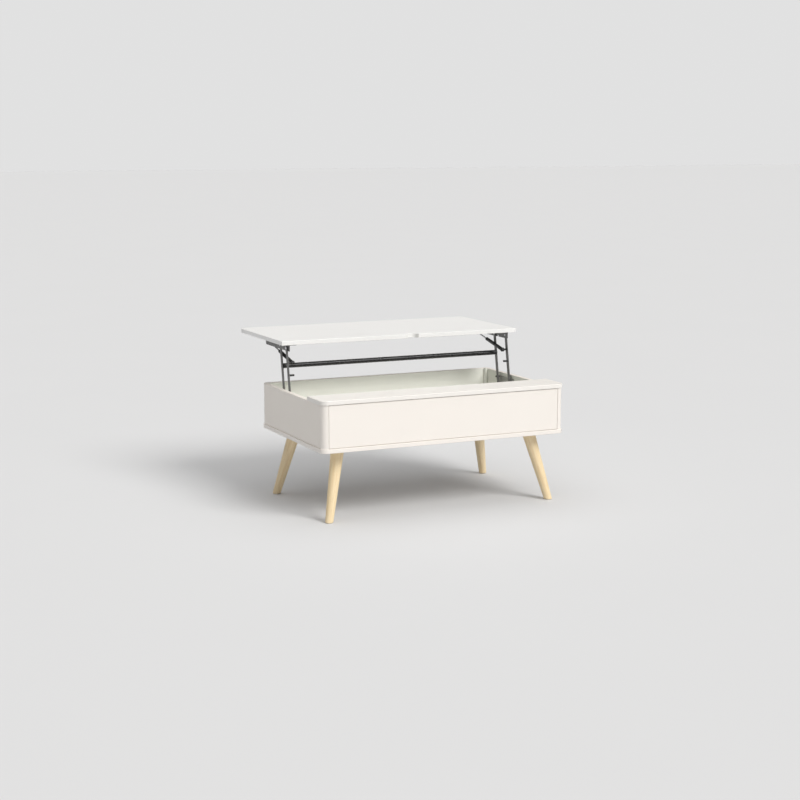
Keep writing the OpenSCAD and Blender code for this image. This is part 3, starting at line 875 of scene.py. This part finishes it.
def tube_profile():
    """The half-section of the tube, from its throat round to its front rim."""
    throat = ROD_R + PLAY
    bore = TUBE_R - 1.2 * MM
    floor = TUBE_START + 4 * MM
    groove = TUBE_END - 11 * MM
    points = [
        (throat, TUBE_END),
        (throat, TUBE_END - 6 * MM),
        (bore, TUBE_END - 8 * MM),
        (bore, floor),
        (0.5 * MM, floor),
        (0.5 * MM, TUBE_START),
        (TUBE_R - 2.2 * MM, TUBE_START),
        (TUBE_R - 0.7 * MM, TUBE_START + 0.6 * MM),
        (TUBE_R, TUBE_START + 2.2 * MM),
    ]
    for along, depth in ((-1.4, 0), (-0.6, 0.5), (0, 0.7), (0.6, 0.5), (1.4, 0)):
        points.append((TUBE_R - depth * MM, groove + along * MM))
    for back, depth in ((2.6, 0), (0.8, 0.8), (0, 2.4)):
        points.append((TUBE_R - depth * MM, TUBE_END - back * MM))
    return points


def gas_tube(side):
    place = spring_place(side)
    body = f"{side}_gas_cylinder"
    tube = Shape()
    tube.turned(tube_profile(), place, 48, hollow=True)
    fit(tube.finished(f"{side}_cylinder"), body, "black_steel", BLACK_STEEL, f"{side}_gas_tube")
    low_eye = Shape()
    eye(low_eye, place, 0, 8 * MM, PIN_R + PLAY)
    neck_r = 4.6 * MM
    low_eye.turned([(neck_r, 6.2 * MM), (neck_r, TUBE_START + 0.4 * MM)], place)
    fit(low_eye.finished(f"{side}_low_eye"), body, "black_steel", BLACK_STEEL, f"{side}_tube_eye")


def gas_rod(side):
    """The chromed rod with its piston, and the eye screwed onto its tip."""
    place = spring_place(side)
    body = f"{side}_piston_rod"
    piston_r = 5.6 * MM
    start = TUBE_END - 22 * MM
    crown = start + 8 * MM
    tip = STRUT_LENGTH - 5 * MM
    profile = [(2 * MM, start), (piston_r, start), (piston_r, crown), (ROD_R, crown), (ROD_R, tip)]
    piston_rod = Shape()
    piston_rod.turned(profile, place)
    fit(piston_rod.finished(f"{side}_rod"), body, "zinc_steel", ROD_CHROME, f"{side}_gas_rod")
    high_eye = Shape()
    eye(high_eye, place, STRUT_LENGTH, 5 * MM, 0)
    neck = STRUT_LENGTH - 10 * MM
    collar = [(3.2, 0), (4.0, 0.6), (4.0, 4.4), (3.4, 6)]
    high_eye.turned([(radius * MM, neck + along * MM) for radius, along in collar], place)
    fit(high_eye.finished(f"{side}_high_eye"), body, "black_steel", BLACK_STEEL, f"{side}_rod_eye")


# ---------- Lift top ----------

NOTCH_R = 23 * MM
NOTCH_X = 45 * MM


def lift_top():
    """The moving board, with a half-round finger notch in its front edge."""
    low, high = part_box("lift_top_panel")
    steps = 30
    arc = []
    for i in range(1, steps):
        angle = math.pi * (1 - i / steps)
        arc.append((NOTCH_X + NOTCH_R * math.cos(angle), low.y + NOTCH_R * math.sin(angle), 0))
    left, right = NOTCH_X - NOTCH_R, NOTCH_X + NOTCH_R
    corners = [(low.x, low.y, EDGE), (left, low.y, 1 * MM), *arc, (right, low.y, 1 * MM)]
    corners += [(high.x, low.y, EDGE), (high.x, high.y, BOARD_R), (low.x, high.y, BOARD_R)]
    shape = Shape()
    shape.plate(corners, high.z - low.z, EDGE, level(low.z))
    fit(shape.finished("painted_lift_top"), "lift_top", "white_lacquer", TOP_LACQUER, "lift_top_panel")


def bracket(side):
    """A bent steel angle: a copy of the plain one with its bend and rims rounded."""
    node = f"{side}_bracket"
    low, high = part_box(node)
    bend_x = high.x if side == "right" else low.x
    mesh = frame["nodes"][node].data.copy()
    mesh.name = "bent_" + node
    work = bmesh.new()
    work.from_mesh(mesh)
    bmesh.ops.remove_doubles(work, verts=work.verts, dist=0.000002)
    bmesh.ops.dissolve_limit(work, angle_limit=math.radians(1), verts=work.verts, edges=work.edges)
    weight = work.edges.layers.float.new("bevel_weight_edge")
    for edge in work.edges:
        if edge.is_manifold and edge.calc_face_angle() > math.radians(35):
            ends = [vertex.co - Vector((bend_x, 0, high.z)) for vertex in edge.verts]
            on_bend = all(abs(end.x) < MM / 10 and abs(end.z) < MM / 10 for end in ends)
            edge[weight] = 1.0 if on_bend else 0.14
    work.to_mesh(mesh)
    work.free()
    made = bpy.data.objects.new("bent_" + node, mesh)
    bpy.context.scene.collection.objects.link(made)
    bevel = made.modifiers.new("bends", "BEVEL")
    bevel.width = 3 * MM
    bevel.segments = 4
    bevel.limit_method = "WEIGHT"
    mesh.polygons.foreach_set("use_smooth", [True] * len(mesh.polygons))
    normals = made.modifiers.new("flat_faces", "WEIGHTED_NORMAL")
    normals.keep_sharp = True
    fit(made, "lift_top", "grey_steel", GREY_STEEL, node)


def top_hardware():
    """Screws, rivets and studs that go up and down with the lift top."""
    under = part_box("lift_top_panel")[0].z
    plate_low = under - BRACKET_T
    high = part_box("bracket_screws")[1]
    screw_x = high.x - SCREW_HEAD_R
    screws = Shape()
    for side in SIDES:
        for back in BRACKET_SCREWS_BACK:
            spot = (SIDES[side] * screw_x, FRONT_TOP.x + back, plate_low)
            place = place_of(spot, (1, 0, 0), (0, -1, 0))
            screw(screws, place, SCREW_HEAD_R, 1.8 * MM, SCREW_R, high.z - plate_low)
    fit(screws.finished("bracket_fixings"), "lift_top", "zinc_steel", ZINC_PLATE, "bracket_screws")
    stud_in = SPRING_X + EYE_W / 2 + 0.3 * MM
    flange_out = outer_face("right_bracket")
    front_out = outer_face("right_front_arm") + HEAD_GAP
    rear_in = inner_face("right_rear_arm") - HEAD_GAP
    flange = flange_out - BRACKET_T
    pins = Shape()
    studs = Shape()
    for side in SIDES:
        pins.turned(rod(PIN_R, front_out - flange, 0.2 * MM), outward(side, flange, FRONT_TOP))
        pins.turned(domed(HEAD_R, HEAD_T, 1.2 * MM), outward(side, front_out, FRONT_TOP))
        pins.turned(rod(PIN_R, flange_out - rear_in, 0.2 * MM), outward(side, rear_in, REAR_TOP))
        pins.turned(domed(HEAD_R, HEAD_T, 1.2 * MM), inward(side, rear_in, REAR_TOP))
        studs.turned(rod(PIN_R, flange_out - stud_in, 0.3 * MM), outward(side, stud_in, STRUT_HIGH))
    fit(pins.finished("top_rivets"), "lift_top", "zinc_steel", ZINC_PLATE, "top_pivot_pins")
    fit(studs.finished("spring_studs"), "lift_top", "black_steel", BLACK_STEEL, "bracket_studs")


def lid_bumpers():
    """Rubber buttons under the lift top, each a low dome, drawn from the board down."""
    low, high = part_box("lid_bumpers")
    radius = 5 * MM
    thick = high.z - low.z
    button = [(1, 0), (1, 0.3), (0.9, 0.7), (0.6, 1)]
    shape = Shape()
    for side in SIDES.values():
        for y in (low.y + radius, high.y - radius):
            place = place_of((side * (high.x - radius), y, high.z), (1, 0, 0), (0, -1, 0))
            shape.turned([(radius * across, thick * up) for across, up in button], place)
    fit(shape.finished("rubber_bumpers"), "lift_top", "rubber", RUBBER, "lid_bumpers")


def lift_mechanism():
    for side in SIDES:
        base_plate(side)
        peg = on_arm(node_middle("left_arm_peg"))
        holes = [(0, 0), (ARM.length, 0), on_arm(STRUT_LOW), peg]
        arm(f"{side}_front_arm", FRONT_BASE, f"{side}_front_link", holes)
        arm(f"{side}_rear_arm", REAR_BASE, "rear_links", [(0, 0), (ARM.length, 0)])
        gas_tube(side)
        gas_rod(side)
        bracket(side)
    base_hardware()
    crossbar()
    front_arm_pins()
    top_hardware()
    lid_bumpers()


def hidden_pieces():
    """What stays inside the boards keeps its plain shape, with its own finish."""
    finishes = {"strip_dowels": DOWEL_BEECH, "leg_bolts": ZINC_PLATE, "leg_inserts": ZINC_PLATE}
    for node, finish in finishes.items():
        mesh = frame["nodes"][node].data
        for i in range(len(mesh.materials)):
            mesh.materials[i] = finish


# ---------- Studio ----------

FLOOR_REACH = 60.0
KEY_TURN = math.radians(21)
KEY_RISE = math.radians(40)
CAMERA_TURN = math.radians(-25.16)
CAMERA_RISE = math.radians(9.33)
CAMERA_DISTANCE = 6.206
CAMERA_TARGET = Vector((-0.0485, 0, 0.3857))
BEHIND = (0.42, 0.91, 0.0)
HORIZON = (0.755, 0.755, 0.755)
LOW_SKY = (0.10, 0.10, 0.10)
HIGH_SKY = (1.38, 1.36, 1.34)


def toward(turn, rise):
    """The way from the table towards a point turned to the right of the front, and raised."""
    flat = math.cos(rise)
    return Vector((math.sin(turn) * flat, -math.cos(turn) * flat, math.sin(rise)))


def backdrop():
    """A level floor that runs out to the horizon."""
    shape = Shape()
    signs = [(-1, -1), (1, -1), (1, 1), (-1, 1)]
    shape.cap([shape.ring([FLOOR_REACH * Vector((x, y, 0)) for x, y in signs])])
    made = shape.finished("backdrop")
    made.data.materials.append(studio_floor())


def lights():
    """A broad warm-white key from the front right, a soft box overhead and a pale wall behind."""
    key = bpy.data.lights.new("key", "SUN")
    key.energy = 2.25
    key.angle = math.radians(30)
    key.color = (1.0, 0.985, 0.96)
    lamp = bpy.data.objects.new("key", key)
    lamp.rotation_euler = toward(KEY_TURN, KEY_RISE).to_track_quat("Z", "Y").to_euler()
    bpy.context.scene.collection.objects.link(lamp)
    world = bpy.data.worlds.new("sky")
    world.use_nodes = True
    nodes = Nodes(world.node_tree)
    way = nodes.node("ShaderNodeTexCoord", output="Generated")
    height = nodes.node("ShaderNodeSeparateXYZ", sockets={"Vector": way}, output="Z")
    dot = {"operation": "DOT_PRODUCT"}
    back = nodes.node("ShaderNodeVectorMath", dot, {0: way, 1: BEHIND}, output="Value")
    glow = nodes.between(back, 0.72, 0.88) * (1 - nodes.between(height, 0.10, 0.20))
    sky = nodes.mix(nodes.between(height, 0.0, 0.12), HORIZON, LOW_SKY)
    sky = nodes.mix(glow, sky, HORIZON)
    sky = nodes.mix(nodes.between(height, 0.55, 0.90), sky, HIGH_SKY)
    nodes.plug(world.node_tree.nodes["Background"], {"Color": sky, "Strength": 1.0})
    bpy.context.scene.world = world
    bpy.context.scene.view_settings.view_transform = "Standard"


def camera():
    """Stands off to the front left, a little above the lift top."""
    away = toward(CAMERA_TURN, CAMERA_RISE)
    data = bpy.data.cameras.new("camera")
    data.lens = 72.2
    data.sensor_width = 36
    made = bpy.data.objects.new("camera", data)
    made.location = CAMERA_TARGET + CAMERA_DISTANCE * away
    made.rotation_euler = away.to_track_quat("Z", "Y").to_euler()
    bpy.context.scene.collection.objects.link(made)
    bpy.context.scene.camera = made


camera()
lights()
backdrop()
cabinet()
legs()
lift_top()
lift_mechanism()
hidden_pieces()
